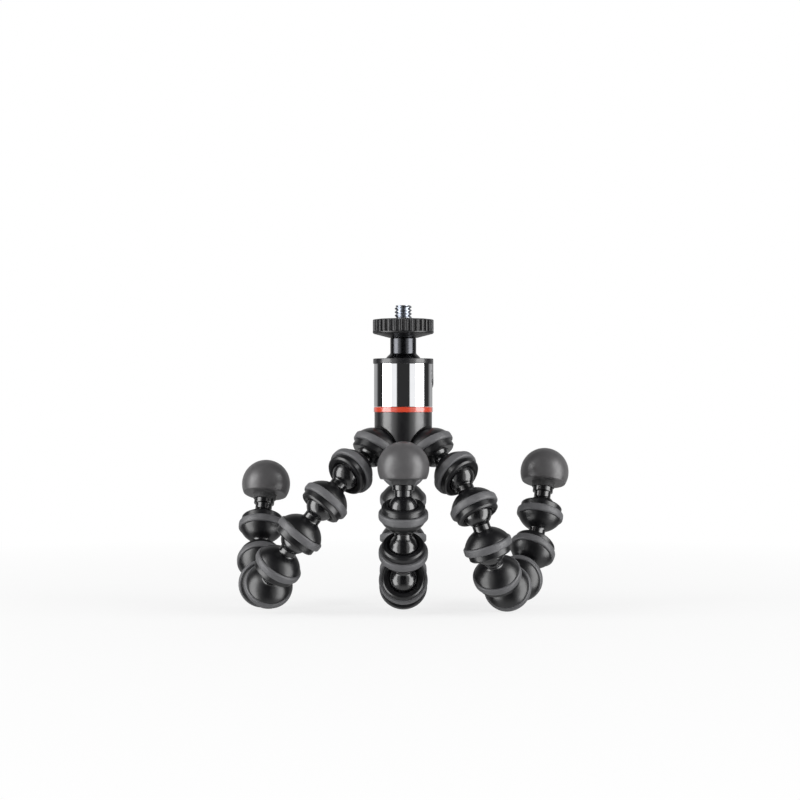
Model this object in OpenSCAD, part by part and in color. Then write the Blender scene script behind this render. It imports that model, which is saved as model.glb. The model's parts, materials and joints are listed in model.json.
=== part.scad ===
// Flexible leg tripod: a small ball head on a hub with three legs of beads.
// Each bead is a ball, a neck and a cup, and snaps by its ball into the cup before it.
// The origin is the middle of the seat on top of the thumb wheel, and +Z points up.

/* [Thumb wheel] */
// Diameter of the ribbed rim
wheel_d = 22.6; // [20:0.1:26]
// Height of the ribbed rim
wheel_rim_h = 5.4; // [4.5:0.1:7]
// Height of the tapered underside
wheel_taper_h = 1.6; // [1:0.1:2.5]
// Diameter of the flat at the foot of the taper
wheel_base_d = 10.4; // [10:0.1:18]
// Height of the plain lip under the grooves
wheel_lip = 0.7; // [0.4:0.1:1.2]
// Number of grooves round the rim
wheel_grooves = 32; // [24:1:40]
// Radius of each groove
groove_r = 0.6; // [0.4:0.05:0.8]
// Outer diameter of the soft seat pad
pad_d = 18.6; // [17:0.1:19.4]
// Diameter of the hole in the seat pad
pad_hole_d = 8.4; // [7.4:0.1:10]
// Thickness of the seat pad
pad_h = 0.9; // [0.7:0.05:1.2]
// Height of the seat pad above the wheel
pad_proud = 0.2; // [0.1:0.05:0.4]
// Diameter of the mounting screw, a quarter inch
screw_d = 6.35; // [6:0.05:6.35]
// Length of the screw above the seat
screw_len = 5; // [4:0.1:5.5]
// Chamfer on the tip of the screw
screw_tip = 0.5; // [0.3:0.05:0.8]
// Diameter of the screw's root in the wheel
screw_root_d = 5.6; // [5:0.1:5.8]
// Depth of the screw's root below the seat
screw_root = 2.2; // [1.9:0.1:2.6]

/* [Ball head] */
// Distance of the ball's centre below the seat
ball_drop = 19.3; // [18.8:0.1:20.5]
// Diameter of the stem on the ball
stem_d = 9.6; // [8.4:0.1:9.8]
// Diameter of the spindle that the wheel turns on
spindle_d = 7; // [6:0.1:8]
// Thickness of the wheel between the spindle and the screw
wheel_web = 0.6; // [0.5:0.1:1]
// Outer diameter of the sleeve
sleeve_d = 21.6; // [21:0.1:23]
// Wall of the sleeve
sleeve_wall = 1.2; // [0.8:0.1:1.4]
// Wall of the collar and the seat round the ball
socket_wall = 1.4; // [1.1:0.1:1.8]
// Height of the sleeve
sleeve_h = 15.9; // [15:0.1:18]
// Step from the sleeve out to the collar's flange
collar_proud = 0.35; // [0.1:0.05:0.8]
// Thickness of the collar's flange
collar_h = 1.9; // [1.4:0.1:2.2]
// Height of the flange's top above the ball's centre
collar_rise = 4.6; // [4.2:0.1:5.2]
// Chamfer round the collar's opening
collar_chamfer = 1.3; // [1:0.1:1.6]
// Bearing of the tilt notch, with 0 along +X and 90 at the rear leg
notch_bearing = 25; // [0:1:45]
// Room at each side of the stem in the tilt notch
notch_room = 0.9; // [0.6:0.1:1.1]
// Width of the raised rim round the tilt notch
notch_rim = 0.9; // [0.6:0.1:1.2]
// Height of the notch's rim above the sleeve
notch_proud = 0.4; // [0.2:0.05:0.6]
// Step from the sleeve out to the accent ring
accent_proud = 0.1; // [0:0.05:0.4]
// Height of the accent ring
accent_h = 1.9; // [1.5:0.1:3]

/* [Hub] */
// Step from the sleeve in to the hub's upper cylinder
hub_inset = 0.15; // [0:0.05:0.6]
// Height of the hub's upper cylinder
hub_upper_h = 13; // [12:0.1:14]
// Height of the tapered part under it
hub_taper_h = 3; // [2:0.1:3.6]
// Diameter of the hub's underside
hub_base_d = 12; // [11:0.1:13]
// Diameter of the hub's core behind the cups
hub_core_d = 14; // [13:0.1:15]
// Gap between the domed back of a cup and the hub's shell
scallop_gap = 1; // [0.7:0.05:1.3]
// Diameter of the shoulder inside the accent ring
shoulder_d = 14.9; // [14:0.1:16]
// Diameter of the post that the head turns on
post_d = 10; // [9:0.1:10.4]
// Diameter of the post's snap head
post_head_d = 12.2; // [11.6:0.1:12.4]
// Height of the post's snap head
post_head_h = 1.4; // [1:0.1:1.6]
// Thickness of the seat's lip under the snap head
seat_lip_h = 2.1; // [1.6:0.1:2.4]
// Depth of each hub cup's band inside the hub's upper cylinder
cup_sink = 6.75; // [6.2:0.05:7]
// Drop from the hub's top to the ball centre in each hub cup
cup_drop = 14.8; // [14.2:0.1:15.6]
// Angle of each hub cup outward from straight down
cup_angle = 35; // [31:1:38]

/* [Legs] */
// Diameter of each leg ball
leg_ball_d = 10.8; // [10.4:0.1:11]
// Diameter of the neck behind each ball
neck_d = 6.4; // [5.8:0.1:6.6]
// Distance from a ball's centre to the domed back of its cup
neck_len = 6; // [5.8:0.1:6.8]
// Step from the grip band out to the radius of the domed back
dome_over = 0.2; // [0:0.05:0.5]
// Distance from the ball centre back to the rear of the grip band
grip_back = 3.9; // [3.6:0.1:4.2]
// Width of the grip band
grip_w = 2.9; // [2.5:0.1:3.1]
// Outer diameter of the grip band
grip_d = 18; // [17.6:0.1:18.6]
// Chamfer on the edges of the grip band
grip_chamfer = 0.4; // [0.2:0.05:0.6]
// Thickness of the grip band
grip_t = 1.4; // [1.2:0.05:1.6]
// Step from the grip band in to the collar at the mouth
mouth_inset = 1.1; // [0.9:0.05:1.4]
// Reach of the mouth past the ball centre
mouth_reach = 1.6; // [1.5:0.05:1.8]
// Chamfer on the rim of the mouth
mouth_chamfer = 0.6; // [0.3:0.05:0.8]

/* [Feet] */
// Diameter of the rubber foot
foot_d = 18.7; // [18:0.1:19]
// Distance from the foot's own ball centre to the centre of the rubber
foot_reach = 14.9; // [14.6:0.1:15.6]
// Distance from the rubber's centre to its flat underside
foot_flat = 4.3; // [4:0.1:4.8]
// Diameter of the rubber skirt under the foot
skirt_d = 8.8; // [8.6:0.1:9.6]
// Height of the rubber skirt
skirt_h = 2.1; // [1.7:0.1:2.4]
// Diameter of the wide part of the foot's neck
foot_neck_d = 7.8; // [7.2:0.1:8.2]
// Height of the wide part of the foot's neck
foot_neck_h = 1.9; // [1.6:0.1:2.2]
// Diameter of the peg inside the rubber
foot_peg_d = 5.4; // [4.8:0.1:6]

/* [Fits] */
// Radial gap between a leg ball and its cup
ball_gap = 0.15; // [0.12:0.01:0.2]
// Radial gap round the head ball
head_gap = 0.15; // [0.12:0.01:0.2]
// Radial running gap of a turning shaft
run_gap = 0.08; // [0.06:0.01:0.1]
// Gap between flat faces that turn on each other
turn_gap = 0.1; // [0.08:0.01:0.15]
// Gap round pieces that are pressed or moulded together
fit_gap = 0.05; // [0.03:0.01:0.06]

/* [Hidden] */
$fn = 64;
// Extra depth of a cut past the face that it opens
cut = 1;

SIDES = ["left", "right", "rear"];
BEADS = 8;
// Compass bearing of each leg's hub cup, with 0 along +X
BEARINGS = [-150, -30, 90];
// Heading of each bead and the foot as bearing and rise, in whole degrees, in the curled pose
HEADINGS = [
    [[-134, -30], [-154, -48], [175, -52], [144, -50], [106, -31], [102, 3], [96, 36], [88, 61], [77, 70]],
    [[-43, -34], [-43, -57], [23, -70], [70, -45], [71, -19], [69, 14], [58, 47], [63, 64], [70, 71]],
    [[90, -30], [90, -64], [90, -99], [90, -133], [90, -167], [90, -198], [90, -232], [90, -251], [90, -273]]
];

HEAD_NODES = [
    "thumb_wheel", "mount_screw", "ball_stem", "head_collar", "head_sleeve", "ball_seat",
    "accent_ring", "hub", "hub_grips"
];

wheel_h = wheel_rim_h + wheel_taper_h;
groove_z = wheel_lip - wheel_rim_h;
collar_d = sleeve_d + 2 * collar_proud;
accent_d = sleeve_d + 2 * accent_proud;
hub_d = sleeve_d - 2 * hub_inset;
spindle_top = -screw_root - wheel_web;
ball_z = -ball_drop;
collar_top = ball_z + collar_rise;
sleeve_top = collar_top - collar_h;
sleeve_foot = sleeve_top - sleeve_h;
sleeve_bore_r = sleeve_d / 2 - sleeve_wall;
insert_r = sleeve_bore_r - fit_gap;
pocket_r = insert_r - socket_wall;
ball_r = pocket_r - head_gap;
// The collar's skirt and the seat meet at the ball's equator, half a gap each way
equator_gap = 2 * head_gap;
notch_r = stem_d / 2 + notch_room;
notch_rim_r = notch_r + notch_rim;
notch_face_r = sleeve_d / 2 + notch_proud;
accent_top = sleeve_foot - turn_gap;
hub_top = accent_top - accent_h;
shoulder_top = accent_top - turn_gap;
post_bore_r = post_d / 2 + run_gap;
post_head_z = sleeve_foot + seat_lip_h + turn_gap;
post_cavity_r = post_head_d / 2 + ball_gap;
cup_z = hub_top - cup_drop;

socket_r = leg_ball_d / 2 + ball_gap;
grip_r = grip_d / 2;
grip_bore_r = grip_r - grip_t;
grip_core_d = grip_d - 2 * (grip_t + fit_gap);
grip_front = grip_back - grip_w;
mouth_d = grip_d - 2 * mouth_inset;
dome_r = grip_r + dome_over;
// Radius from the head's axis to the ball centre in each hub cup
cup_radius = hub_d / 2 + grip_r - cup_sink;
// Distance from ball centre to ball centre along a leg
pitch = neck_len + dome_r;
foot_base = foot_reach - foot_flat;
foot_neck_z = foot_base - skirt_h - foot_neck_h;

// Unit vector of a heading
function ray(h) = [cos(h[1]) * cos(h[0]), cos(h[1]) * sin(h[0]), sin(h[1])];
// Centre of the ball in hub cup i
function cup_at(i) = [cup_radius * cos(BEARINGS[i]), cup_radius * sin(BEARINGS[i]), cup_z];
// Centre of the ball joint past bead k of leg i, where 0 is the hub's own cup
function joint_at(i, k) = k == 0 ? cup_at(i) : joint_at(i, k - 1) + pitch * ray(HEADINGS[i][k - 1]);

// Turns children from +Z to a heading
module along(h) {
    rotate([0, 90 - h[1], h[0]])
        children();
}

// Places children made at a bead's own ball, bead k of leg i, or the foot after the last bead
module on_leg(i, k) {
    translate(joint_at(i, k - 1))
        along(HEADINGS[i][k - 1])
            children();
}

// Places children made at the ball centre of hub cup i
module on_hub(i) {
    translate(cup_at(i))
        along([BEARINGS[i], cup_angle - 90])
            children();
}

// Outside of a cup: domed back, core under the grip and collar at the mouth
module cup_outside() {
    intersection() {
        sphere(r = dome_r);
        translate([0, 0, -2 * dome_r])
            cylinder(r = 2 * dome_r, h = 2 * dome_r - grip_back);
    }
    translate([0, 0, -dome_r / 2])
        cylinder(d = grip_core_d, h = dome_r / 2 - grip_front);
    translate([0, 0, -grip_front])
        cylinder(d = mouth_d, h = grip_front + mouth_reach - mouth_chamfer);
    translate([0, 0, mouth_reach - mouth_chamfer])
        cylinder(d1 = mouth_d, d2 = mouth_d - 2 * mouth_chamfer, h = mouth_chamfer);
}

// Soft band round a cup
module grip() {
    translate([0, 0, -grip_back])
        rotate_extrude()
            polygon([
                [grip_bore_r, 0], [grip_r - grip_chamfer, 0], [grip_r, grip_chamfer],
                [grip_r, grip_w - grip_chamfer], [grip_r - grip_chamfer, grip_w], [grip_bore_r, grip_w]
            ]);
}

// Groove for a band where it runs into the body behind its cup
module grip_groove() {
    translate([0, 0, -grip_back])
        difference() {
            cylinder(r = grip_r + fit_gap, h = grip_w);
            translate([0, 0, -cut])
                cylinder(d = grip_core_d, h = grip_w + 2 * cut);
        }
}

// One bead of a leg: ball, neck and cup
module bead() {
    sphere(d = leg_ball_d);
    cylinder(d = neck_d, h = pitch - (dome_r + socket_r) / 2);
    translate([0, 0, pitch])
        difference() {
            cup_outside();
            sphere(r = socket_r);
        }
}

// Rigid part of a foot: ball, stepped neck and the peg inside the rubber
module foot_stem() {
    sphere(d = leg_ball_d);
    cylinder(d = neck_d, h = foot_neck_z);
    translate([0, 0, foot_neck_z])
        cylinder(d = foot_neck_d, h = foot_neck_h);
    translate([0, 0, foot_neck_z + foot_neck_h])
        cylinder(d = foot_peg_d, h = foot_reach - foot_neck_z - foot_neck_h);
}

// Rubber of a foot: a ball with a flat underside, a skirt and a blind hole for the peg
module foot_rubber() {
    difference() {
        union() {
            intersection() {
                translate([0, 0, foot_reach])
                    sphere(d = foot_d);
                translate([0, 0, foot_base])
                    cylinder(r = foot_d, h = 2 * foot_d);
            }
            translate([0, 0, foot_base - skirt_h + fit_gap])
                cylinder(d = skirt_d, h = skirt_h + foot_flat - fit_gap);
        }
        translate([0, 0, foot_base - skirt_h - cut])
            cylinder(r = foot_peg_d / 2 + fit_gap, h = skirt_h + foot_flat + fit_gap + cut);
    }
}

// U-shaped cut outward from the ball that opens upward, for the stem at full tilt
module notch_cut(r) {
    rotate(notch_bearing)
        translate([0, 0, ball_z]) {
            rotate([0, 90, 0])
                cylinder(r = r, h = sleeve_d);
            translate([0, -r, 0])
                cube([sleeve_d, 2 * r, ball_drop]);
        }
}

// Flat ring of the seat pad, made larger all round by a gap
module pad_ring(h, gap) {
    difference() {
        cylinder(r = pad_d / 2 + gap, h = h);
        translate([0, 0, -cut])
            cylinder(r = pad_hole_d / 2 - gap, h = h + 2 * cut);
    }
}

module thumb_wheel() {
    color("#18181a")
        difference() {
            union() {
                translate([0, 0, -wheel_rim_h])
                    cylinder(d = wheel_d, h = wheel_rim_h - pad_proud);
                translate([0, 0, -wheel_h])
                    cylinder(d1 = wheel_base_d, d2 = wheel_d, h = wheel_taper_h);
            }
            for (k = [0:wheel_grooves - 1])
                rotate(k * 360 / wheel_grooves)
                    translate([wheel_d / 2, 0, groove_z])
                        cylinder(r = groove_r, h = wheel_rim_h + cut);
            translate([0, 0, -wheel_h - cut])
                cylinder(r = spindle_d / 2 + run_gap, h = wheel_h + spindle_top + turn_gap + cut);
            translate([0, 0, -screw_root])
                cylinder(r = screw_root_d / 2 + fit_gap, h = screw_root + cut);
            translate([0, 0, -pad_h])
                pad_ring(pad_h + cut, fit_gap);
        }
    color("#3c3c3e")
        translate([0, 0, fit_gap - pad_h])
            pad_ring(pad_h - fit_gap, 0);
}

module mount_screw() {
    color("#b4b7bc") {
        translate([0, 0, -screw_root])
            cylinder(d = screw_root_d, h = screw_root);
        translate([0, 0, -pad_proud])
            cylinder(d = screw_d, h = pad_proud + screw_len - screw_tip);
        translate([0, 0, screw_len - screw_tip])
            cylinder(d1 = screw_d, d2 = screw_d - 2 * screw_tip, h = screw_tip);
    }
}

module ball_stem() {
    color("#2d2e31") {
        translate([0, 0, ball_z])
            sphere(r = ball_r);
        translate([0, 0, ball_z])
            cylinder(d = stem_d, h = ball_drop - wheel_h - turn_gap);
        translate([0, 0, ball_z])
            cylinder(d = spindle_d, h = ball_drop + spindle_top);
    }
}

module head_collar() {
    color("#2a2a2c")
        difference() {
            union() {
                translate([0, 0, sleeve_top])
                    cylinder(d = collar_d, h = collar_h);
                translate([0, 0, ball_z + equator_gap / 2])
                    cylinder(r = insert_r, h = collar_rise - collar_h);
                intersection() {
                    notch_cut(notch_rim_r);
                    translate([0, 0, ball_z - notch_rim_r])
                        cylinder(r = notch_face_r, h = notch_rim_r + collar_rise);
                    difference() {
                        translate([0, 0, ball_z - notch_rim_r])
                            cylinder(r = sleeve_d, h = sleeve_d);
                        translate([0, 0, ball_z - notch_rim_r - cut])
                            cylinder(r = insert_r + 2 * fit_gap, h = sleeve_d + 2 * cut);
                    }
                }
            }
            translate([0, 0, ball_z])
                sphere(r = pocket_r);
            translate([0, 0, collar_top - collar_chamfer])
                cylinder(r1 = pocket_r - collar_chamfer, r2 = pocket_r, h = collar_chamfer);
            notch_cut(notch_r);
        }
}

module head_sleeve() {
    color("#d6d8db")
        difference() {
            translate([0, 0, sleeve_foot])
                cylinder(d = sleeve_d, h = sleeve_h);
            translate([0, 0, sleeve_foot - cut])
                cylinder(r = sleeve_bore_r, h = sleeve_h + 2 * cut);
            notch_cut(notch_rim_r + fit_gap);
        }
}

module ball_seat() {
    color("#3a3a3d")
        difference() {
            translate([0, 0, sleeve_foot])
                cylinder(r = insert_r, h = ball_z - equator_gap / 2 - sleeve_foot);
            translate([0, 0, sleeve_foot - cut])
                cylinder(r = post_bore_r, h = sleeve_h);
            translate([0, 0, sleeve_foot + seat_lip_h])
                cylinder(r = post_cavity_r, h = sleeve_h);
            translate([0, 0, ball_z])
                sphere(r = pocket_r);
            notch_cut(notch_r);
        }
}

module accent_ring() {
    color("#d8452c")
        translate([0, 0, hub_top])
            difference() {
                cylinder(d = accent_d, h = accent_h);
                translate([0, 0, -cut])
                    cylinder(r = shoulder_d / 2 + fit_gap, h = accent_h + 2 * cut);
            }
}

// Shell of the hub, cut away round the back of each cup
module hub_shell() {
    difference() {
        union() {
            translate([0, 0, hub_top - hub_upper_h])
                cylinder(d = hub_d, h = hub_upper_h);
            translate([0, 0, hub_top - hub_upper_h - hub_taper_h])
                cylinder(d1 = hub_base_d, d2 = hub_d, h = hub_taper_h);
        }
        for (i = [0:len(SIDES) - 1])
            on_hub(i)
                sphere(r = dome_r + scallop_gap);
    }
}

module hub() {
    color("#1b1b1d")
        difference() {
            union() {
                hub_shell();
                translate([0, 0, hub_top - hub_upper_h])
                    cylinder(d = hub_core_d, h = hub_upper_h - cut);
                translate([0, 0, hub_top - hub_upper_h / 2])
                    cylinder(d = shoulder_d, h = shoulder_top - hub_top + hub_upper_h / 2);
                translate([0, 0, hub_top])
                    cylinder(d = post_d, h = post_head_z + post_head_h - hub_top);
                translate([0, 0, post_head_z])
                    cylinder(d1 = post_head_d, d2 = post_d, h = post_head_h);
                for (i = [0:len(SIDES) - 1])
                    on_hub(i)
                        cup_outside();
            }
            for (i = [0:len(SIDES) - 1])
                on_hub(i) {
                    sphere(r = socket_r);
                    grip_groove();
                }
        }
}

module hub_grips() {
    color("#6b6b6e")
        for (i = [0:len(SIDES) - 1])
            on_hub(i)
                grip();
}

module leg_bead(i, k) {
    color("#1c1c1e")
        on_leg(i, k)
            bead();
}

module leg_grip(i, k) {
    color("#6b6b6e")
        on_leg(i, k)
            translate([0, 0, pitch])
                grip();
}

module leg_foot(i) {
    on_leg(i, BEADS + 1) {
        color("#1c1c1e")
            foot_stem();
        color("#5a5a5c")
            foot_rubber();
    }
}

thumb_wheel();
mount_screw();
ball_stem();
head_collar();
head_sleeve();
ball_seat();
accent_ring();
hub();
hub_grips();
for (i = [0:len(SIDES) - 1]) {
    for (k = [1:BEADS]) {
        leg_bead(i, k);
        leg_grip(i, k);
    }
    leg_foot(i);
}
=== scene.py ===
"""A flexible leg tripod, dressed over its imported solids.

Sizes are in millimetres and pieces in metres, in the frame of the solids: the origin is the middle
of the seat on the thumb wheel, and +Z points up.
"""

import json
import logging
import math
from collections.abc import Callable, Sequence
from dataclasses import dataclass, field
from enum import Enum
from typing import Any

import bmesh
import bpy
import numpy as np
from mathutils import Matrix, Vector


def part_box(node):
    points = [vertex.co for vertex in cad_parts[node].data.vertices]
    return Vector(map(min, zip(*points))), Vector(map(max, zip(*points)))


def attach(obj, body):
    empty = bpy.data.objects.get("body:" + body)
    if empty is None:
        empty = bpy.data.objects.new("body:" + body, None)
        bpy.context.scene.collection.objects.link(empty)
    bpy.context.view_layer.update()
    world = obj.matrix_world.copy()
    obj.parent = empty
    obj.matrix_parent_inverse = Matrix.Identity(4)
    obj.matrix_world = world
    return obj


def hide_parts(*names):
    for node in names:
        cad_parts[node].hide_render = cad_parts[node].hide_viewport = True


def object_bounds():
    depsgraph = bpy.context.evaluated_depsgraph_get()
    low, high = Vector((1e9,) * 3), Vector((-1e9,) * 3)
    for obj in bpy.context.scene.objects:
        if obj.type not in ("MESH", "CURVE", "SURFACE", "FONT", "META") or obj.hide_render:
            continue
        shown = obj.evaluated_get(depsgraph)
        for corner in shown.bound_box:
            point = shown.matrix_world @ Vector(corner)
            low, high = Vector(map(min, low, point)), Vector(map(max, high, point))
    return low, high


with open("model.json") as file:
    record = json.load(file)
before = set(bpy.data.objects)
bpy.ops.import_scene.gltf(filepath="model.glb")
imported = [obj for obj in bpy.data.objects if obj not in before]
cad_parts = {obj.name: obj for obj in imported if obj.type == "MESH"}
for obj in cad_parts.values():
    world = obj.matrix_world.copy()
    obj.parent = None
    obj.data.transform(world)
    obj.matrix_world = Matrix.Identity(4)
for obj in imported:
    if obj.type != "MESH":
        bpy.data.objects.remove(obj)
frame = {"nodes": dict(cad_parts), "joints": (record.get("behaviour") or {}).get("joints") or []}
cad_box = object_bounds()

log = logging.getLogger("tripod")

MM = 0.001
# Where nearly all values of a noise texture lie
NOISE_SPAN = (0.3, 0.7)
# Octaves of a noise that is too fine to show more of them
FINE_DETAIL = 2.0

Path = list[tuple[float, float]]
Corner = tuple[float, float, float]
Span = tuple[float, float]
Warp = Callable[[np.ndarray, np.ndarray, np.ndarray], np.ndarray]
Tree = bpy.types.NodeTree
Node = bpy.types.Node
Socket = bpy.types.NodeSocket
Mesh = bpy.types.Mesh


class Side(Enum):
    """The three legs, by the name that their solids carry."""

    LEFT = "left"
    RIGHT = "right"
    REAR = "rear"


class Loop(Enum):
    """Whether a turned outline runs from axis to axis or closes on itself as a ring."""

    AXIS = "axis"
    RING = "ring"


# Materials


def linear(hex_colour: str) -> tuple[float, float, float, float]:
    """Turns an sRGB colour to linear.

    Args:
        hex_colour: The colour, such as "#1b1b1d".

    Returns:
        Red, green and blue in linear light, and an alpha of 1.
    """
    parts = [int(hex_colour[i:i + 2], 16) / 255 for i in (1, 3, 5)]
    red, green, blue = (c / 12.92 if c <= 0.04045 else ((c + 0.055) / 1.055) ** 2.4 for c in parts)
    return red, green, blue, 1.0


def per_metre(size_mm: float) -> float:
    """The texture scale at which a noise cell is as wide as a real size in millimetres."""
    return 1 / (size_mm * MM)


def add_node(tree: Tree, kind: str, settings: dict[Any, Any] | None = None,
             links: dict[Any, Socket] | None = None) -> Node:
    """Adds one node to a tree.

    Args:
        tree: The tree of a material or of the world.
        kind: Blender's name for the node.
        settings: Values by the name or number of an input, or by the name of a property.
        links: Sockets to join, by the name or number of the input.

    Returns:
        The new node.
    """
    node = tree.nodes.new(kind)
    for key, value in (settings or {}).items():
        if isinstance(key, int) or key in node.inputs:
            node.inputs[key].default_value = value
        else:
            setattr(node, key, value)
    for key, socket in (links or {}).items():
        tree.links.new(socket, node.inputs[key])
    return node


def ramp(tree: Tree, value: Socket, span: Span, low: float = 0.0, high: float = 1.0) -> Socket:
    """Maps a value from one range to another, without going past its ends.

    Args:
        tree: The tree of a material or of the world.
        value: The socket with the value.
        span: The values at which the ramp starts and ends.
        low: The result at its start.
        high: The result at its end.

    Returns:
        The socket with the result.
    """
    node = add_node(tree, "ShaderNodeMapRange",
                    {"From Min": span[0], "From Max": span[1], "To Min": low, "To Max": high}, {"Value": value})
    return node.outputs["Result"]


def reckon(tree: Tree, operation: str, *terms: Socket) -> Socket:
    """Works one value out of others.

    Args:
        tree: The tree of a material or of the world.
        operation: Blender's name for the operation.
        terms: The sockets with the values.

    Returns:
        The socket with the result.
    """
    return add_node(tree, "ShaderNodeMath", {"operation": operation}, dict(enumerate(terms))).outputs[0]


@dataclass(frozen=True)
class Finish:
    """What every finish has: a name, a colour, a gloss and a way to draw its grain."""

    name: str
    colour: str
    roughness: float

    def material(self) -> bpy.types.Material:
        """Makes the material on its first use.

        Returns:
            The material, the same one each time.
        """
        made = bpy.data.materials.get(self.name)
        if made is None:
            made = bpy.data.materials.new(self.name)
            made.use_nodes = True
            made.diffuse_color = linear(self.colour)
            self.draw(made.node_tree, made.node_tree.nodes["Principled BSDF"])
        return made

    def draw(self, tree: Tree, shader: Node) -> None:
        """Fills in the tree of a new material."""
        raise NotImplementedError

    def place(self, tree: Tree) -> Socket:
        """Adds a piece's own coordinates, moved by a random step so that no two pieces match.

        Args:
            tree: The material's tree.

        Returns:
            The socket with the coordinates, in metres.
        """
        own = add_node(tree, "ShaderNodeTexCoord")
        info = add_node(tree, "ShaderNodeObjectInfo")
        moved = add_node(tree, "ShaderNodeVectorMath", {"operation": "ADD"},
                         {0: own.outputs["Object"], 1: info.outputs["Random"]})
        return moved.outputs[0]

    def noise(self, tree: Tree, place: Socket, size_mm: float, low: float, high: float,
              detail: float = 3.0) -> Socket:
        """Adds a noise of a real cell size, spread between two values.

        Args:
            tree: The material's tree.
            place: The coordinates, in metres.
            size_mm: The width of a cell.
            low: The value at the noise's low end.
            high: The value at its high end.
            detail: The octaves of the noise.

        Returns:
            The socket with the value.
        """
        cells = add_node(tree, "ShaderNodeTexNoise", {"Scale": per_metre(size_mm), "Detail": detail},
                         {"Vector": place})
        return ramp(tree, cells.outputs["Fac"], NOISE_SPAN, low, high)

    def blend(self, tree: Tree, shader: Node, other: str, share: Socket) -> None:
        """Blends a second colour into the finish's own.

        Args:
            tree: The material's tree.
            shader: The material's shader.
            other: The second colour.
            share: The socket with its share.
        """
        mixed = add_node(tree, "ShaderNodeMixRGB",
                         {"Color1": linear(self.colour), "Color2": linear(other)}, {"Fac": share})
        tree.links.new(mixed.outputs["Color"], shader.inputs["Base Color"])

    def relief(self, tree: Tree, shader: Node, place: Socket, size_mm: float, depth_mm: float) -> Socket:
        """Raises a fine noise on the surface.

        Args:
            tree: The material's tree.
            shader: The material's shader.
            place: The coordinates, in metres.
            size_mm: The width of a cell.
            depth_mm: The height of the noise.

        Returns:
            The socket with the noise.
        """
        cells = add_node(tree, "ShaderNodeTexNoise", {"Scale": per_metre(size_mm), "Detail": FINE_DETAIL},
                         {"Vector": place})
        bump = add_node(tree, "ShaderNodeBump", {"Strength": 1.0, "Distance": depth_mm * MM},
                        {"Height": cells.outputs["Fac"]})
        tree.links.new(bump.outputs["Normal"], shader.inputs["Normal"])
        return cells.outputs["Fac"]


@dataclass(frozen=True)
class MouldedPlastic(Finish):
    """Injection-moulded plastic: the tool's polish or spark texture, with faint flow and handling marks."""

    worn: str = "#3a3a3c"
    ior: float = 1.54
    coat: float = 0.0
    coat_dulling: float = 0.6
    flow_mm: float = 7.0
    flow_share: float = 0.35
    mark_mm: float = 2.2
    grain_mm: float = 0.3
    grain_depth_mm: float = 0.004
    spread: float = 0.06

    def draw(self, tree: Tree, shader: Node) -> None:
        """Draws flow marks in the colour, handling marks in the gloss and the tool's grain."""
        place = self.place(tree)
        shader.inputs["IOR"].default_value = self.ior
        shader.inputs["Coat Weight"].default_value = self.coat
        shader.inputs["Coat Roughness"].default_value = self.roughness * self.coat_dulling
        # Flow marks are broad and weak, about half as long as a bead
        self.blend(tree, shader, self.worn, self.noise(tree, place, self.flow_mm, 0.0, self.flow_share, 4.0))
        # Handling marks are the size of a fingertip's ridges in patches
        marks = self.noise(tree, place, self.mark_mm, self.roughness - self.spread, self.roughness + self.spread)
        tree.links.new(marks, shader.inputs["Roughness"])
        self.relief(tree, shader, place, self.grain_mm, self.grain_depth_mm)


@dataclass(frozen=True)
class SoftRubber(Finish):
    """Moulded thermoplastic rubber: matte, a little dusty, with a fine spark-eroded grain."""

    bloom: str = "#8a8a8b"
    ior: float = 1.5
    bloom_mm: float = 3.0
    bloom_share: float = 0.5
    dull_mm: float = 1.2
    spread: float = 0.06
    grain_mm: float = 0.35
    grain_depth_mm: float = 0.02
    sheen: float = 0.15
    sheen_roughness: float = 0.6

    def draw(self, tree: Tree, shader: Node) -> None:
        """Draws the pale bloom of handled rubber, an uneven dull gloss and the grain."""
        place = self.place(tree)
        shader.inputs["IOR"].default_value = self.ior
        shader.inputs["Sheen Weight"].default_value = self.sheen
        shader.inputs["Sheen Roughness"].default_value = self.sheen_roughness
        # Bloom gathers in patches of a few millimetres
        self.blend(tree, shader, self.bloom, self.noise(tree, place, self.bloom_mm, 0.0, self.bloom_share, 5.0))
        dull = self.noise(tree, place, self.dull_mm, self.roughness - self.spread, self.roughness + self.spread)
        tree.links.new(dull, shader.inputs["Roughness"])
        # Spark-eroded grain is about 0.05 mm, and is drawn coarser so that it shows
        self.relief(tree, shader, place, self.grain_mm, self.grain_depth_mm)


@dataclass(frozen=True)
class TurnedMetal(Finish):
    """Metal turned on a lathe, then polished, plated or anodised: fine lines run round the axis."""

    tint: str = "#808080"
    cloud_mm: float = 5.0
    cloud_share: float = 0.5
    line_mm: float = 0.25
    line_depth_mm: float = 0.001
    line_stretch: float = 0.02
    spread: float = 0.03

    def draw(self, tree: Tree, shader: Node) -> None:
        """Draws a slight cloud in the colour, and turning lines in the gloss and the surface."""
        place = self.place(tree)
        shader.inputs["Metallic"].default_value = 1.0
        self.blend(tree, shader, self.tint, self.noise(tree, place, self.cloud_mm, 0.0, self.cloud_share))
        # Turning lines are about 0.1 mm apart, and are drawn wider so that they show
        stretched = add_node(tree, "ShaderNodeMapping", {"Scale": (self.line_stretch, self.line_stretch, 1.0)},
                             {"Vector": place})
        lines = self.relief(tree, shader, stretched.outputs["Vector"], self.line_mm, self.line_depth_mm)
        low, high = max(0.0, self.roughness - self.spread), self.roughness + self.spread
        gloss = ramp(tree, lines, NOISE_SPAN, low, high)
        tree.links.new(gloss, shader.inputs["Roughness"])


# Gloss-tooled ABS of the balls: near black, with soft-edged reflections of the lamps
GLOSS_ABS = MouldedPlastic("abs_gloss_moulded", "#0e0e10", 0.24, worn="#1a1a1c", coat=0.5, grain_mm=1.6,
                           grain_depth_mm=0.002, spread=0.04)
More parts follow.
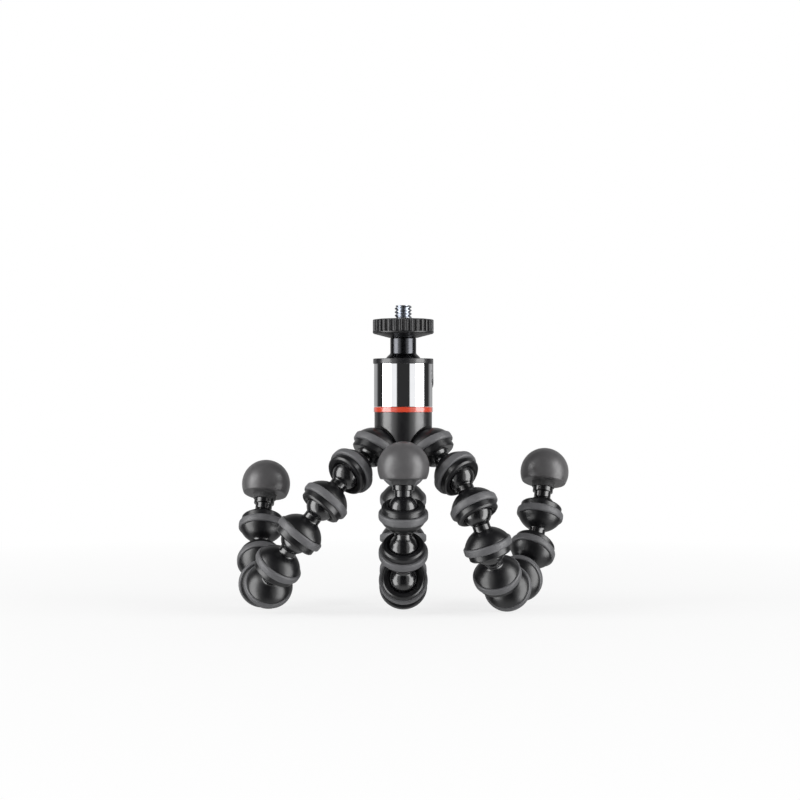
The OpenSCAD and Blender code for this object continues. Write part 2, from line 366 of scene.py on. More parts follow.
# Fine-tooled ABS of the cups: a little duller than the balls that run in them
SHELL_ABS = MouldedPlastic("abs_shell_moulded", "#111113", 0.33, worn="#1c1c1e", grain_mm=0.8,
                           grain_depth_mm=0.003, spread=0.04)
# Satin-tooled ABS of the hub: the same black with a softer, greyer sheen
SATIN_ABS = MouldedPlastic("abs_satin_moulded", "#121214", 0.34, worn="#1e1e20", coat=0.5, grain_mm=0.5)
# Bright ABS with its pigment right through: the only colour on the object
ACCENT_ABS = MouldedPlastic("abs_accent_moulded", "#cd4229", 0.22, worn="#d85238", coat=1.0, grain_mm=0.8)
# Glass-filled nylon: dull black with a fine open grain, and a little darker still as painted shade from a camera
# sitting on the seat
DARK_NYLON_AND_SHADE = MouldedPlastic("nylon_black_and_painted_shade", "#151517", 0.38, worn="#202022", grain_mm=0.4,
                            grain_depth_mm=0.012)
# Collar nylon: a shade lighter and a little smoother
COLLAR_NYLON = MouldedPlastic("nylon_grey_moulded", "#1e1e20", 0.27, worn="#29292b", coat=0.3, grain_mm=0.4)
# Acetal of the ball seat: smooth, waxy and dark
SEAT_ACETAL = MouldedPlastic("acetal_moulded", "#2c2c2f", 0.4, worn="#38383b")
# Grip rubber: mid grey and dry, so that the bands stand out from the black shells
GRIP_RUBBER = SoftRubber("rubber_grip_moulded", "#5c5c5e", 0.48, bloom="#6c6c6e", sheen=0.0)
# Foot rubber: a darker, smoother mix with broad soft highlights
FOOT_RUBBER = SoftRubber("rubber_foot_moulded", "#535253", 0.35, bloom="#5e5d5e", grain_depth_mm=0.008,
                         sheen=0.0)
# Rubber of the seat pad: nearly black. The skirt under each foot wears it too, as painted shade under the foot's
# ball
PAD_RUBBER_AND_SKIRT_SHADE = SoftRubber("rubber_pad_and_painted_skirt_shade", "#2a2a2b", 0.7, bloom="#3a3a3b", grain_depth_mm=0.03)
# Bright chrome over polished brass: a mirror with faint polishing lines
CHROME = TurnedMetal("chrome_polished", "#f2f3f5", 0.05, tint="#e8e9ec", line_mm=0.4, line_depth_mm=0.0003,
                     spread=0.02)
# Black-anodised aluminium, turned: dark metal with broad grey highlights
DARK_ALUMINIUM = TurnedMetal("aluminium_anodised_turned", "#4a4b4e", 0.24, tint="#3c3d40")
# Zinc-plated steel: pale and slightly blue
ZINC_STEEL = TurnedMetal("steel_zinc_plated", "#b9bdc4", 0.26, tint="#a4a8b0")


# Turned and drawn shapes


def arc(centre: tuple[float, float], radius: float, start: float, end: float, step: float = 6.0) -> Path:
    """Points along an arc in the plane of radius and height.

    Args:
        centre: Radius and height of the arc's centre.
        radius: The arc's own radius.
        start: First angle in degrees, from straight out and turning up.
        end: Last angle.
        step: The widest angle between two points.

    Returns:
        The points, both ends included.
    """
    count = max(2, math.ceil(abs(end - start) / step))
    angles = [math.radians(start + (end - start) * i / count) for i in range(count + 1)]
    return [(centre[0] + radius * math.cos(a), centre[1] + radius * math.sin(a)) for a in angles]


def eased(corners: Sequence[Corner], loop: Loop = Loop.AXIS, step: float = 18.0) -> Path:
    """Rounds the corners of an outline.

    Args:
        corners: Radius, height and rounding of each corner.
        loop: Whether the outline closes on itself. The ends of an open one stay sharp.
        step: The widest angle between two points of a rounding.

    Returns:
        The rounded outline.
    """
    points = [Vector(c[:2]) for c in corners]
    count = len(points)
    path: Path = []
    for i, here in enumerate(points):
        ease = corners[i][2]
        if ease <= 0 or (loop is Loop.AXIS and i in (0, count - 1)):
            path.append(tuple(here))
            continue
        back = points[i - 1] - here
        ahead = points[(i + 1) % count] - here
        half = back.angle(ahead) / 2
        reach = min(ease / math.tan(half), back.length * 0.49, ahead.length * 0.49)
        ease = reach * math.tan(half)
        middle = here + (back.normalized() + ahead.normalized()).normalized() * (ease / math.sin(half))
        first, last = (here + v.normalized() * reach - middle for v in (back, ahead))
        turn = first.angle_signed(last)
        pieces = max(2, math.ceil(math.degrees(abs(turn)) / step))
        begin = math.atan2(first.y, first.x)
        path += [(middle.x + ease * math.cos(begin - turn * k / pieces),
                  middle.y + ease * math.sin(begin - turn * k / pieces)) for k in range(pieces + 1)]
    return path


def held(path: Path, loop: Loop = Loop.AXIS, hold: float = 0.12, longest: float = 1.2) -> Path:
    """Adds a point near each end of a long straight run, so that its shading stays flat.

    Args:
        path: The outline.
        loop: Whether it closes on itself.
        hold: Distance of the added points from the ends.
        longest: Length of a run that needs none.

    Returns:
        The outline with the points added.
    """
    made: Path = []
    runs = zip(path, path[1:] + path[:1]) if loop is Loop.RING else zip(path, path[1:])
    for a, b in runs:
        made.append(a)
        length = math.dist(a, b)
        if length > longest:
            for share in (hold / length, 1 - hold / length):
                made.append((a[0] + (b[0] - a[0]) * share, a[1] + (b[1] - a[1]) * share))
    return made if loop is Loop.RING else made + [path[-1]]


def ball_to_neck(centre: float, ball: float, neck: float, ease: float, above: bool) -> tuple[float, Path]:
    """The rounding between a ball and a neck on the same axis.

    Args:
        centre: Height of the ball's centre.
        ball: Radius of the ball.
        neck: Radius of the neck.
        ease: Radius of the rounding.
        above: Whether the neck leaves the top of the ball, or else its underside.

    Returns:
        The ball's angle where the rounding starts, and the rounding's points, from low to high.
    """
    rise = math.sqrt((ball + ease) ** 2 - (neck + ease) ** 2)
    angle = math.degrees(math.atan2(rise, neck + ease))
    if above:
        return angle, arc((neck + ease, centre + rise), ease, 180 + angle, 180, 15)
    return -angle, arc((neck + ease, centre - rise), ease, 180, 180 - angle, 15)


def turned(name: str, path: Path, loop: Loop = Loop.AXIS, columns: int = 72, warp: Warp | None = None,
           crease: float = 40.0) -> Mesh:
    """Turns an outline round the Z axis.

    Args:
        name: The mesh's name.
        path: The outline, in millimetres, with the outer side running up.
        loop: Whether the outline runs from axis to axis or closes on itself.
        columns: Divisions round the axis.
        warp: Changes the radii, given angles, radii and heights.
        crease: The angle in degrees from which an edge is drawn sharp.

    Returns:
        The closed mesh, in metres.
    """
    angles = np.arange(columns) * 2 * math.pi / columns
    points: list[Corner] = []
    rings: list[list[int]] = []
    for radius, height in path:
        first = len(points)
        if radius < 1e-6:
            points.append((0.0, 0.0, height))
            rings.append([first])
            continue
        radii = np.full(columns, radius)
        if warp is not None:
            radii = warp(angles, radii, np.full(columns, height))
        points += [(r * math.cos(a), r * math.sin(a), height) for a, r in zip(angles, radii)]
        rings.append(list(range(first, first + columns)))
    pairs = list(zip(rings, rings[1:] + rings[:1])) if loop is Loop.RING else list(zip(rings, rings[1:]))
    faces: list[list[int]] = []
    for low, high in pairs:
        for i in range(columns):
            j = (i + 1) % columns
            if len(low) == 1 and len(high) > 1:
                faces.append([low[0], high[j], high[i]])
            elif len(high) == 1 and len(low) > 1:
                faces.append([low[i], low[j], high[0]])
            elif len(low) > 1:
                faces.append([low[i], low[j], high[j], high[i]])
    return meshed(name, points, faces, crease)


def meshed(name: str, points: Sequence[Sequence[float]], faces: Sequence[Sequence[int]],
           crease: float = 40.0) -> Mesh:
    """Makes a smooth-shaded mesh.

    Args:
        name: The mesh's name.
        points: The points, in millimetres.
        faces: The faces, as numbers of points.
        crease: The angle in degrees from which an edge is drawn sharp.

    Returns:
        The mesh, in metres.
    """
    mesh = bpy.data.meshes.new(name)
    mesh.from_pydata([[c * MM for c in p] for p in points], [], faces)
    mesh.validate()
    mesh.shade_smooth()
    mesh.set_sharp_from_angle(angle=math.radians(crease))
    return mesh


def put(name: str, mesh: Mesh, finish: Finish, body: str, replaces: Sequence[str] = (),
        place: Matrix | None = None) -> bpy.types.Object:
    """Puts a piece in its place on its body.

    Args:
        name: The piece's name.
        mesh: Its mesh, which other pieces may share.
        finish: The finish that it wears.
        body: The body of the frame that carries it.
        replaces: The solids that it stands for.
        place: Where it sits. The frame's own origin if left out.

    Returns:
        The piece.
    """
    piece = bpy.data.objects.new(name, mesh)
    bpy.context.scene.collection.objects.link(piece)
    if not mesh.materials:
        mesh.materials.append(finish.material())
    piece.matrix_world = place or Matrix.Identity(4)
    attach(piece, body)
    if replaces:
        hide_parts(*replaces)
    log.info("%s rides on %s", name, body)
    return piece


def weld(mesh: Mesh) -> None:
    """Joins the points of a mesh that lie on each other."""
    work = bmesh.new()
    work.from_mesh(mesh)
    bmesh.ops.remove_doubles(work, verts=work.verts, dist=1e-7)
    bmesh.ops.recalc_face_normals(work, faces=work.faces)
    work.to_mesh(mesh)
    work.free()


def soften(piece: bpy.types.Object, width_mm: float) -> None:
    """Rounds the sharp edges of a piece.

    Args:
        piece: The piece.
        width_mm: The width of the rounding.
    """
    bevel = piece.modifiers.new("edges", "BEVEL")
    bevel.width = width_mm * MM
    bevel.segments = 3
    bevel.limit_method = "ANGLE"
    bevel.angle_limit = math.radians(35)
    bevel.harden_normals = True


def paint(mesh: Mesh, low: Finish, high: Finish, height_mm: float) -> None:
    """Gives the lower and the upper faces of a mesh a finish each.

    Args:
        mesh: The mesh.
        low: The finish of the faces below the height.
        high: The finish of the faces above it.
        height_mm: The height.
    """
    for finish in (low, high):
        mesh.materials.append(finish.material())
    for face in mesh.polygons:
        face.material_index = int(face.center.z > height_mm * MM)


def dress(node: str, finish: Finish) -> None:
    """Gives a solid that stays in view its finish."""
    shown = frame["nodes"][node]
    shown.data.materials.clear()
    shown.data.materials.append(finish.material())
    log.info("%s keeps its solid", node)


def along(start: Vector, heading: Vector) -> Matrix:
    """The place of a piece that is made on +Z from its own origin.

    Args:
        start: Where the origin goes, in metres.
        heading: Where +Z goes.

    Returns:
        The matrix of the place.
    """
    return Matrix.Translation(start) @ heading.to_track_quat("Z", "Y").to_matrix().to_4x4()


# Sub-assemblies


@dataclass
class BallHead:
    """The head: thumb wheel and pad, screw, ball with its stem, collar and sleeve."""

    wheel_r: float = 11.3
    rim_low: float = -5.4
    rim_high: float = -0.2
    taper_low: float = -7.0
    taper_r: float = 5.2
    bore_r: float = 3.58
    bore_top: float = -2.7
    grooves: int = 32
    groove_half: float = 0.6
    groove_depth: float = 0.8
    rib_crown: float = 0.14
    groove_low: float = -4.7
    groove_end: float = 0.5
    pad_inner: float = 4.2
    pad_outer: float = 9.3
    pad_low: float = -0.85
    pad_rings: int = 5
    ring_pitch: float = 0.85
    ring_half: float = 0.2
    ring_depth: float = 0.18
    screw_r: float = 3.175
    screw_root_r: float = 2.8
    screw_low: float = -2.2
    screw_tip: float = 5.0
    thread: float = 1.27
    thread_depth: float = 0.62
    thread_low: float = -0.2
    thread_start: float = 0.4
    thread_rows: int = 60
    flank_slope: float = 2.6
    crest_share: float = 0.2
    tip_bevel: float = 0.5
    ball_r: float = 8.0
    ball_z: float = -19.3
    stem_r: float = 4.8
    stem_top: float = -7.1
    spindle_r: float = 3.5
    spindle_top: float = -2.8
    sleeve_r: float = 10.8
    sleeve_bore: float = 9.6
    collar_r: float = 11.15
    collar_lip: float = 8.15
    collar_bevel: float = 1.3
    notch_bearing: float = 25.0
    notch_half: float = 5.7
    notch_rim: float = 0.9
    notch_proud: float = 11.2
    notch_straight: float = 0.4
    ball_gap: float = 0.15
    gap: float = 0.05
    around: int = 96

    def build(self) -> None:
        """Builds and dresses the whole head."""
        self.wheel()
        self.pad()
        self.screw()
        self.stem()
        self.sleeve()
        self.collar()
        dress("ball_seat", SEAT_ACETAL)

    def ribs(self, angles: np.ndarray, radii: np.ndarray, heights: np.ndarray) -> np.ndarray:
        """Cuts the grooves into the rim, ending above its lower lip, and rounds the ribs between them.

        Args:
            angles: The angle of each point.
            radii: Its radius on the plain rim.
            heights: Its height.

        Returns:
            The radii with the grooves cut.
        """
        pitch = 2 * math.pi / self.grooves
        off = np.abs(np.mod(angles + pitch / 2, pitch) - pitch / 2) * self.wheel_r
        groove = self.groove_depth * np.sqrt(np.maximum(1 - (off / self.groove_half) ** 2, 0))
        rib_half = pitch * self.wheel_r / 2 - self.groove_half
        crown = self.rib_crown * ((rib_half + self.groove_half - off) / rib_half) ** 2
        depth = np.maximum(groove, np.minimum(crown, self.rib_crown))
        run = np.clip((heights - self.groove_low) / self.groove_end, 0, 1)
        cut = self.wheel_r - depth * np.sqrt(1 - (1 - run) ** 2)
        return np.where(heights > self.groove_low, np.minimum(radii, cut), radii)

    def wheel(self) -> None:
        """The ribbed wheel, open below for the spindle and above for the pad and screw."""
        hole = self.screw_root_r + self.gap
        inner, outer, floor = self.pad_inner - self.gap, self.pad_outer + self.gap, self.pad_low - self.gap
        path = eased([
            (0, self.bore_top, 0), (self.bore_r, self.bore_top, 0.1), (self.bore_r, self.taper_low, 0.25),
            (self.taper_r, self.taper_low, 0.3), (self.wheel_r - 0.35, self.rim_low - 0.1, 0.5),
            (self.wheel_r, self.rim_low + 0.3, 0.4), (self.wheel_r, self.rim_high, 0.5),
            (outer, self.rim_high, 0.15), (outer, floor, 0.1), (inner, floor, 0.1), (inner, self.rim_high, 0.12),
            (hole, self.rim_high, 0.12), (hole, self.screw_low, 0.05), (0, self.screw_low, 0)])
        # More rows where the grooves run out, between the last low point of the rim and its first high one
        lip = [(self.wheel_r, self.groove_low + d) for d in (0.0, 0.06, 0.15, 0.3, self.groove_end)]
        low = next(i for i, p in enumerate(path) if p[0] > self.wheel_r - 0.01 and p[1] > self.rim_low)
        high = next(i for i in range(low, len(path)) if path[i][1] > self.groove_low + self.groove_end)
        path = path[:high] + lip + path[high:]
        # The wheel's dark colour is partly painted shade from a camera sitting on the seat
        put("wheel_rim", turned("wheel_rim", held(path), columns=self.grooves * 16, warp=self.ribs, crease=50),
            DARK_NYLON_AND_SHADE, "wheel", ["thumb_wheel"])

    def pad(self) -> None:
        """The soft seat pad, with shallow rings pressed into its face."""
        rings = [self.pad_outer - 0.9 - self.ring_pitch * k for k in range(self.pad_rings)]
        face: list[Corner] = []
        for r in rings:
            face += [(r + self.ring_half, 0, 0.08), (r, -self.ring_depth, 0.06), (r - self.ring_half, 0, 0.08)]
        path = eased([(self.pad_inner, self.pad_low, 0.1), (self.pad_outer, self.pad_low, 0.1),
                      (self.pad_outer, 0, 0.18), *face, (self.pad_inner, 0, 0.18)], Loop.RING)
        put("seat_pad", turned("seat_pad", path, Loop.RING, 96), PAD_RUBBER_AND_SKIRT_SHADE, "wheel")

    def screw(self) -> None:
        """The mounting screw with its right-hand thread."""
        def cut(angles: np.ndarray, radii: np.ndarray, heights: np.ndarray) -> np.ndarray:
            """Winds the thread round the shank and bevels its tip."""
            turn = np.mod(heights / self.thread - angles / (2 * math.pi), 1)
            flank = np.clip(np.abs(turn - 0.5) * self.flank_slope - self.crest_share, 0, 1)
            bevel = np.maximum(heights - self.screw_tip + self.tip_bevel, 0)
            fade = np.clip((heights - self.thread_low) / self.thread_start, 0, 1)
            wound = np.minimum(self.screw_r - self.thread_depth * flank * fade, self.screw_r - bevel)
            on_shank = (heights > self.thread_low) & (radii > self.screw_r - self.thread_depth)
            return np.where(on_shank, np.minimum(radii, wound), radii)

        rise = (self.screw_tip - self.thread_low) / self.thread_rows
        shank = [(self.screw_r, self.thread_low + rise * k) for k in range(self.thread_rows + 1)]
        path = [(0, self.screw_low), (self.screw_root_r, self.screw_low), (self.screw_root_r, self.thread_low),
                *shank, (self.screw_r - 1.2, self.screw_tip), (0, self.screw_tip)]
        put("tripod_screw", turned("tripod_screw", path, columns=64, warp=cut, crease=50), ZINC_STEEL, "wheel",
            ["mount_screw"])

    def stem(self) -> None:
        """The head's ball, rounded into its stem, with the spindle inside the wheel."""
        top, ease = ball_to_neck(self.ball_z, self.ball_r, self.stem_r, 1.0, True)
        path = arc((0, self.ball_z), self.ball_r, -90, top) + ease + eased([
            (self.stem_r, ease[-1][1] + 0.05, 0), (self.stem_r, self.stem_top, 0.25),
            (self.spindle_r, self.stem_top, 0.1), (self.spindle_r, self.spindle_top, 0.2),
            (0, self.spindle_top, 0)])
        put("head_ball", turned("head_ball", held(path), columns=96), DARK_ALUMINIUM, "ball_stem",
            ["ball_stem"])

    def turn(self) -> Matrix:
        """The turn of the pieces that are made with the notch on +X."""
        return Matrix.Rotation(math.radians(self.notch_bearing), 4, "Z")

    def sleeve(self) -> None:
        """The polished sleeve, open at the side for the tilted stem."""
        low, high = (corner.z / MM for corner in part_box("head_sleeve"))
        half = self.notch_half + self.notch_rim + self.gap
        across = [half * math.sin(math.radians(a)) for a in range(-90, 91, 6)]
        points: list[Corner] = []
        columns: dict[str, list[tuple[int, int, int, int]]] = {"wall": [], "notch": []}

        def column(way: str, spots: Sequence[tuple[float, float]], top: float) -> None:
            """Adds one column of four points: outside and inside, low and high."""
            first = len(points)
            for x, y in spots:
                points.extend([(x, y, low), (x, y, top)])
            columns[way].append((first, first + 1, first + 2, first + 3))

        radii = (self.sleeve_r, self.sleeve_bore)
        for k in range(self.around + 1):
            spots = []
            for r in radii:
                edge = math.asin(half / r)
                angle = edge + (2 * math.pi - 2 * edge) * k / self.around
                spots.append((r * math.cos(angle), r * math.sin(angle)))
            column("wall", spots, high)
        for y in across:
            spots = [(math.sqrt(r * r - y * y), y) for r in radii]
            column("notch", spots, self.ball_z - math.sqrt(max(half * half - y * y, 0)))
        faces: list[list[int]] = []
        for group in columns.values():
            for a, b in zip(group, group[1:]):
                faces += [[a[0], b[0], b[1], a[1]], [b[2], a[2], a[3], b[3]],
                          [a[1], b[1], b[3], a[3]], [b[0], a[0], a[2], b[2]]]
        wall, notch = columns["wall"], columns["notch"]
        for a, b in ((wall[-1], notch[0]), (notch[-1], wall[0])):
            up, down = (a, b) if a in wall else (b, a)
            side = [up[1], up[3], down[3], down[1]]
            faces.append(side if a in wall else side[::-1])
        mesh = meshed("chrome_sleeve", points, faces)
        weld(mesh)
        piece = put("chrome_sleeve", mesh, CHROME, "housing", ["head_sleeve"], self.turn())
        soften(piece, 0.12)

    def collar(self) -> None:
        """The collar over the ball, with the raised rim that frames the notch."""
        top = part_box("head_collar")[1].z / MM
        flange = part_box("head_sleeve")[1].z / MM
        pocket = self.ball_r + self.ball_gap
        spigot = self.ball_z + self.ball_gap
        lip = top - self.collar_bevel
        rise = math.sqrt(pocket ** 2 - (lip - self.ball_z) ** 2)
        spigot_r = self.sleeve_bore - self.gap
        path = [(spigot_r, spigot), (spigot_r, flange), (self.collar_r, flange), (self.collar_r, top),
                (self.collar_lip, top), (rise, lip)]
        angle = math.degrees(math.asin((lip - self.ball_z) / pocket))
        path += arc((0, self.ball_z), pocket, angle, math.degrees(math.asin(self.ball_gap / pocket)))[1:]
        half, count = self.notch_half, self.around
        points: list[Corner] = []
        for k in range(count + 1):
            for r, z in path:
                edge = math.asin(half / r)
                turn = edge + (2 * math.pi - 2 * edge) * k / count
                points.append((r * math.cos(turn), r * math.sin(turn), z))
        size = len(path)
        faces = [[k * size + i, (k + 1) * size + i, (k + 1) * size + j, k * size + j]
                 for k in range(count) for i, j in ((i, (i + 1) % size) for i in range(size))]
        faces += [list(range(size)), [count * size + i for i in reversed(range(size))]]
        self.frame_notch(points, faces, top)
        piece = put("ball_collar", meshed("ball_collar", points, faces), COLLAR_NYLON, "housing",
                    ["head_collar"], self.turn())
        soften(piece, 0.2)

    def frame_notch(self, points: list[Corner], faces: list[list[int]], top: float) -> None:
        """Adds the raised U that frames the notch.

        Args:
            points: The collar's points, added to.
            faces: The collar's faces, added to.
            top: Height of the collar's top.
        """
        middle, half = self.notch_half + self.notch_rim / 2, self.notch_rim / 2
        straight = self.ball_z + self.notch_straight
        route = [((middle, top), (1.0, 0.0)), ((middle, straight), (1.0, 0.0))]
        for a in range(0, -181, -7):
            way = (math.cos(math.radians(a)), math.sin(math.radians(a)))
            route.append(((middle * way[0], self.ball_z + middle * way[1]), way))
        route += [((-middle, straight), (-1.0, 0.0)), ((-middle, top), (-1.0, 0.0))]
        first = len(points)
        inner, outer = self.sleeve_bore + self.gap, self.notch_proud
        for (y, z), way in route:
            for radius, side in ((inner, -1), (outer, -1), (outer, 1), (inner, 1)):
                yy, zz = y + way[0] * half * side, z + way[1] * half * side
                points.append((math.sqrt(radius ** 2 - yy ** 2), yy, zz))
        for k in range(len(route) - 1):
            for i in range(4):
                j = (i + 1) % 4
                a, b = first + 4 * k, first + 4 * (k + 1)
                faces.append([a + i, b + i, b + j, a + j])
        last = first + 4 * (len(route) - 1)
        faces += [[first + i for i in range(4)], [last + i for i in (3, 2, 1, 0)]]


@dataclass
class LegShapes:
    """The meshes that all legs share: a bead's shell, its band, and a foot's stem and rubber."""

    pitch: float = 15.2
    ball_r: float = 5.4
    neck_r: float = 3.2
    neck_ease: float = 0.5
    dome_r: float = 9.2
    dome_ease: float = 0.8
    gloss_end: float = 0.6
    band_back: float = 3.9
    band_front: float = 1.0
    band_r: float = 9.0
    core_r: float = 7.6
    mouth_r: float = 7.9
    mouth_reach: float = 1.6
    mouth_bevel: float = 0.6
    socket_r: float = 5.55
    flare: float = 0.5
    foot_r: float = 9.35
    foot_reach: float = 14.9
    foot_flat: float = 4.3
    skirt_r: float = 4.4
    skirt_h: float = 2.05
    step_r: float = 3.9
    step_h: float = 1.9
    peg_r: float = 2.7
    gap: float = 0.05
    shell: Mesh = field(init=False)
    band: Mesh = field(init=False)
    stem: Mesh = field(init=False)
    rubber: Mesh = field(init=False)

    def __post_init__(self) -> None:
        """Makes the four meshes."""
        self.shell = turned("bead_shell", held(self.shell_path()))
        paint(self.shell, GLOSS_ABS, SHELL_ABS, self.pitch - self.dome_r + self.gloss_end)
        self.band = turned("grip_band", held(self.band_path(), Loop.RING), Loop.RING)
        self.stem = turned("foot_stem", held(self.stem_path()))
        self.rubber = turned("foot_rubber", held(self.rubber_path()), columns=96)
        # The skirt below the flat takes the near-black pad rubber as painted shade under the foot's ball
        paint(self.rubber, PAD_RUBBER_AND_SKIRT_SHADE, FOOT_RUBBER, self.foot_reach - self.foot_flat - self.gap)

    def shell_path(self) -> Path:
        """A bead from its ball's pole up the outside to the mouth, and down into the socket."""
        top, over_ball = ball_to_neck(0, self.ball_r, self.neck_r, self.neck_ease, True)
        low, under_dome = ball_to_neck(self.pitch, self.dome_r, self.neck_r, self.dome_ease, False)
        edge = -math.degrees(math.asin(self.band_back / self.dome_r))
        dome = arc((0, self.pitch), self.dome_r, low, edge)
        rim = self.pitch + self.mouth_reach
        lip = self.mouth_reach - self.flare
        lip_r = math.sqrt(self.socket_r ** 2 - lip ** 2)
        back, front = self.pitch - self.band_back, self.pitch - self.band_front
        mouth = eased([
            (*dome[-2], 0), (*dome[-1], 0.2), (self.core_r, back, 0.1), (self.core_r, front, 0.1),
            (self.mouth_r, front, 0.12), (self.mouth_r, rim - self.mouth_bevel, 0.3),
            (self.mouth_r - self.mouth_bevel, rim, 0.25), (lip_r + self.flare * 1.2, rim, 0.25),
            (lip_r, self.pitch + lip, 0)])
        socket = arc((0, self.pitch), self.socket_r, math.degrees(math.asin(lip / self.socket_r)), -90, 9)
        ball = arc((0, 0), self.ball_r, -90, top)
        return [(0, -self.ball_r), *ball[1:], *over_ball[1:], *under_dome, *dome[1:-2], *mouth, *socket[1:-1],
                (0, self.pitch - self.socket_r)]

    def band_path(self) -> Path:
        """A band round a cup, made at the middle of the cup's ball, with a slight crown."""
        back, front = -self.band_back + 0.02, -self.band_front - 0.02
        inner = self.core_r + self.gap
        return eased([(inner, back, 0), (self.band_r - 0.4, back, 0.3), (self.band_r - 0.05, back + 0.45, 0.5),
                      (self.band_r, (back + front) / 2, 6.0), (self.band_r - 0.05, front - 0.45, 0.5),
                      (self.band_r - 0.4, front, 0.3), (inner, front, 0)], Loop.RING)

    def stem_path(self) -> Path:
        """The rigid part of a foot: ball, stepped neck, and the peg inside the rubber."""
        base = self.foot_reach - self.foot_flat
        step = base - self.skirt_h - self.gap - self.step_h
        top, ease = ball_to_neck(0, self.ball_r, self.neck_r, self.neck_ease, True)
        ball = arc((0, 0), self.ball_r, -90, top)
        return [(0, -self.ball_r), *ball[1:], *ease[1:]] + eased([
            (self.neck_r, ease[-1][1] + 0.05, 0), (self.neck_r, step, 0.25), (self.step_r, step, 0.25),
            (self.step_r, step + self.step_h, 0.2), (self.peg_r, step + self.step_h, 0.1),
            (self.peg_r, self.foot_reach, 0.2), (0, self.foot_reach, 0)])

    def rubber_path(self) -> Path:
        """The rubber of a foot: a ball with a flat underside, a skirt and a blind hole for the peg."""
        base = self.foot_reach - self.foot_flat
        skirt = base - self.skirt_h
        hole, end = self.peg_r + self.gap, self.foot_reach + self.gap
        edge = -math.degrees(math.asin(self.foot_flat / self.foot_r))
        ball = arc((0, self.foot_reach), self.foot_r, edge, 90, 5)
        return eased([(0, end, 0), (hole, end, 0), (hole, skirt, 0.1), (self.skirt_r, skirt, 0.35),
                      (self.skirt_r, base, 0.5), (*ball[0], 0.6), (*ball[1], 0)]) + ball[2:-1] + [
                          (0, self.foot_reach + self.foot_r)]


@dataclass
class Hub:
    """The hub with its accent ring and the bands on its three cups."""

    shapes: LegShapes
    accent_r: float = 10.9
    accent_bore: float = 7.5
    splay: float = 35.0

    def build(self) -> None:
        """Builds and dresses the hub."""
        dress("hub", SATIN_ABS)
        self.accent()
        for k, side in enumerate(Side):
            self.cup_band(side, ["hub_grips"] if k == 0 else [])

    def accent(self) -> None:
        """The coloured ring between the sleeve and the hub."""
        low, high = (corner.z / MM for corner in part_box("accent_ring"))
        path = eased([(self.accent_bore, low, 0.1), (self.accent_r, low, 0.25), (self.accent_r, high, 0.25),
                      (self.accent_bore, high, 0.1)], Loop.RING)
        put("accent_band", turned("accent_band", held(path, Loop.RING), Loop.RING, 96), ACCENT_ABS, "hub",
            ["accent_ring"])

    def cup_band(self, side: Side, replaces: Sequence[str]) -> None:
        """The band on one hub cup.

        Args:
            side: The leg that the cup holds.
            replaces: The solids that this band stands for.
        """
        start = joint_at(side, 1)
        out = Vector((start.x, start.y, 0)).normalized() * math.sin(math.radians(self.splay))
        heading = out + Vector((0, 0, -math.cos(math.radians(self.splay))))
        put(f"hub_band_{side.value}", self.shapes.band, GRIP_RUBBER, "hub", replaces,
            along(start, heading))


@dataclass
class Leg:
    """One leg: eight beads with their bands, and the foot."""

    side: Side
    shapes: LegShapes
    beads: int = 8

    def build(self) -> None:
        """Builds and dresses the leg, from the hub to the foot."""
        for k in range(1, self.beads + 1):
            self.bead(k)
        self.foot()

    def bead(self, k: int) -> None:
        """One bead and its band.

        Args:
            k: The bead's number, from the hub.
        """
        name, body = self.side.value, f"{self.side.value}_{k}"
        start, end = joint_at(self.side, k), joint_at(self.side, k + 1)
        heading = end - start
        put(f"{name}_shell_{k}", self.shapes.shell, GLOSS_ABS, body, [f"{name}_bead_{k}"],
            along(start, heading))
        put(f"{name}_band_{k}", self.shapes.band, GRIP_RUBBER, body, [f"{name}_grip_{k}"],
            along(end, heading))

    def foot(self) -> None:
        """The foot's stem and its rubber, which points the way that the solid does."""
        name, body = self.side.value, f"{self.side.value}_end"
        start = joint_at(self.side, self.beads + 1)
        points = frame["nodes"][f"{name}_foot"].data.vertices
        heading = max((v.co - start for v in points), key=lambda way: way.length)
        put(f"{name}_foot_stem", self.shapes.stem, GLOSS_ABS, body, [f"{name}_foot"],
            along(start, heading))
        put(f"{name}_foot_rubber", self.shapes.rubber, FOOT_RUBBER, body, [],
            along(start, heading))


def joint_at(side: Side, k: int) -> Vector:
    """Where ball joint k of a leg sits, counted from the hub, in metres."""
    return next(Vector(j["pos_m"]) for j in frame["joints"] if j["name"] == f"{side.value}_ball_{k}")


